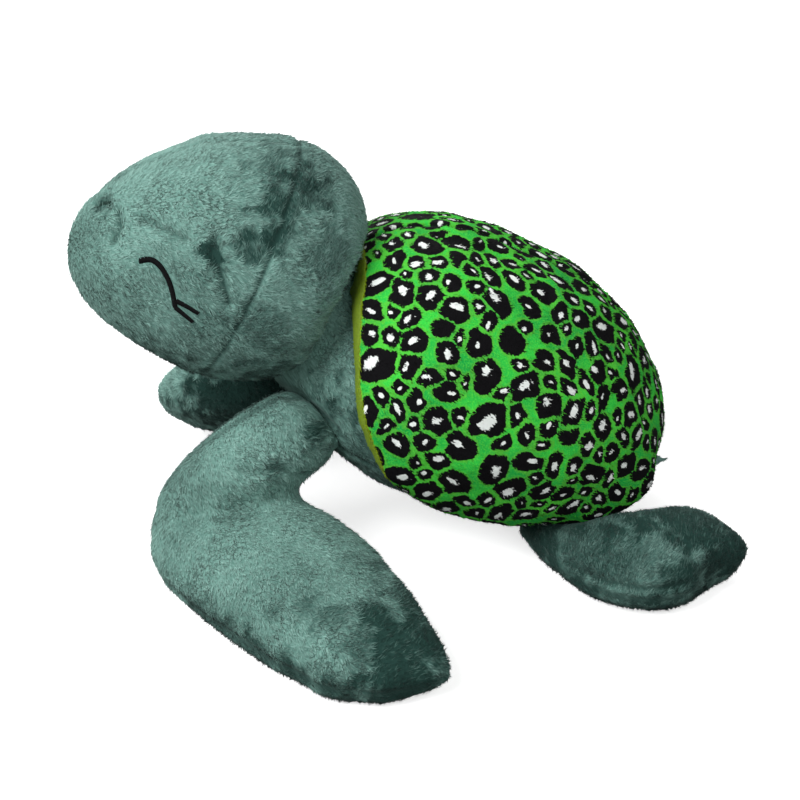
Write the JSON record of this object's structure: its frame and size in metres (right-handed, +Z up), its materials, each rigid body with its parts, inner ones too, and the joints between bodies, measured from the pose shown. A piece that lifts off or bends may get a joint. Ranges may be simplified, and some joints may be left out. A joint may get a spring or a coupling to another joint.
{
  "type": "plush turtle",
  "caption": "Plush sea turtle lying with its head raised, in grey-green plush, with a padded shell in green leopard print and two closed stitched eyes.",
  "frame": {"origin": "the middle of the flat patch under the belly, where the turtle rests on the floor", "axes": "+Z up, -Y to the turtle's front, +X to the turtle's left"},
  "size_m": [0.3856, 0.4027, 0.2577],
  "materials": {
    "plush": "grey-green short-pile plush with a brushed sheen",
    "printed_plush": "short-pile plush printed with black and white leopard spots on bright green",
    "lining": "smooth olive-green knit lining",
    "filling": "off-white polyester fibre",
    "eye_thread": "black satin embroidery thread",
    "nose_thread": "dark green sewing thread pulled tight"
  },
  "bodies": {
    "body": {"belly_panel": "plush", "body_left_panel": "plush", "body_right_panel": "plush", "body_stuffing": "filling", "shell_left_panel": "printed_plush", "shell_right_panel": "printed_plush", "shell_lining": "lining", "shell_stuffing": "filling"},
    "neck": {"neck_panel": "plush", "neck_stuffing": "filling"},
    "head": {"face_left_panel": "plush", "face_right_panel": "plush", "head_back_panel": "plush", "head_stuffing": "filling", "eye_stitching_left": "eye_thread", "eye_stitching_right": "eye_thread", "nostril_stitch_left": "nose_thread", "nostril_stitch_right": "nose_thread"},
    "front_left_flipper": {"front_left_flipper_top_panel": "plush", "front_left_flipper_bottom_panel": "plush", "front_left_flipper_stuffing": "filling"},
    "front_right_flipper": {"front_right_flipper_top_panel": "plush", "front_right_flipper_bottom_panel": "plush", "front_right_flipper_stuffing": "filling"},
    "hind_left_flipper": {"hind_left_flipper_top_panel": "plush", "hind_left_flipper_bottom_panel": "plush", "hind_left_flipper_stuffing": "filling"},
    "hind_right_flipper": {"hind_right_flipper_top_panel": "plush", "hind_right_flipper_bottom_panel": "plush", "hind_right_flipper_stuffing": "filling"},
    "tail": {"tail_top_panel": "plush", "tail_bottom_panel": "plush"}
  },
  "joints": [
    {"name": "head_turn", "type": "hinge", "parent": "body", "child": "neck", "pos_m": [0, -0.13324, 0.13613], "axis": [0, -0.7193, 0.6947], "range_deg": [-14, 14], "stiffness_Nm_per_rad": 2},
    {"name": "head_nod", "type": "hinge", "parent": "neck", "child": "head", "pos_m": [0, -0.11597, 0.11946], "axis": [1, 0, 0], "range_deg": [-8, 8], "stiffness_Nm_per_rad": 4},
    {"name": "front_left_flap", "type": "hinge", "parent": "body", "child": "front_left_flipper", "pos_m": [0.05764, -0.14759, 0.09], "axis": [-0.7071, -0.7071, 0], "range_deg": [-8, 22], "stiffness_Nm_per_rad": 6},
    {"name": "front_right_flap", "type": "hinge", "parent": "body", "child": "front_right_flipper", "pos_m": [-0.05764, -0.14759, 0.09], "axis": [-0.3584, 0.9336, 0], "range_deg": [-8, 22], "stiffness_Nm_per_rad": 6},
    {"name": "hind_left_swing", "type": "hinge", "parent": "body", "child": "hind_left_flipper", "pos_m": [0.05235, -0.00481, 0.018], "axis": [0, 0, 1], "range_deg": [-15, 8], "stiffness_Nm_per_rad": 0.5},
    {"name": "hind_right_swing", "type": "hinge", "parent": "body", "child": "hind_right_flipper", "pos_m": [-0.05235, -0.00481, 0.018], "axis": [0, 0, -1], "range_deg": [-15, 8], "stiffness_Nm_per_rad": 0.5},
    {"name": "tail_wag", "type": "hinge", "parent": "body", "child": "tail", "pos_m": [0, 0.06331, 0.01997], "axis": [0, 0, 1], "range_deg": [-20, 20], "stiffness_Nm_per_rad": 0.05}
  ]
}
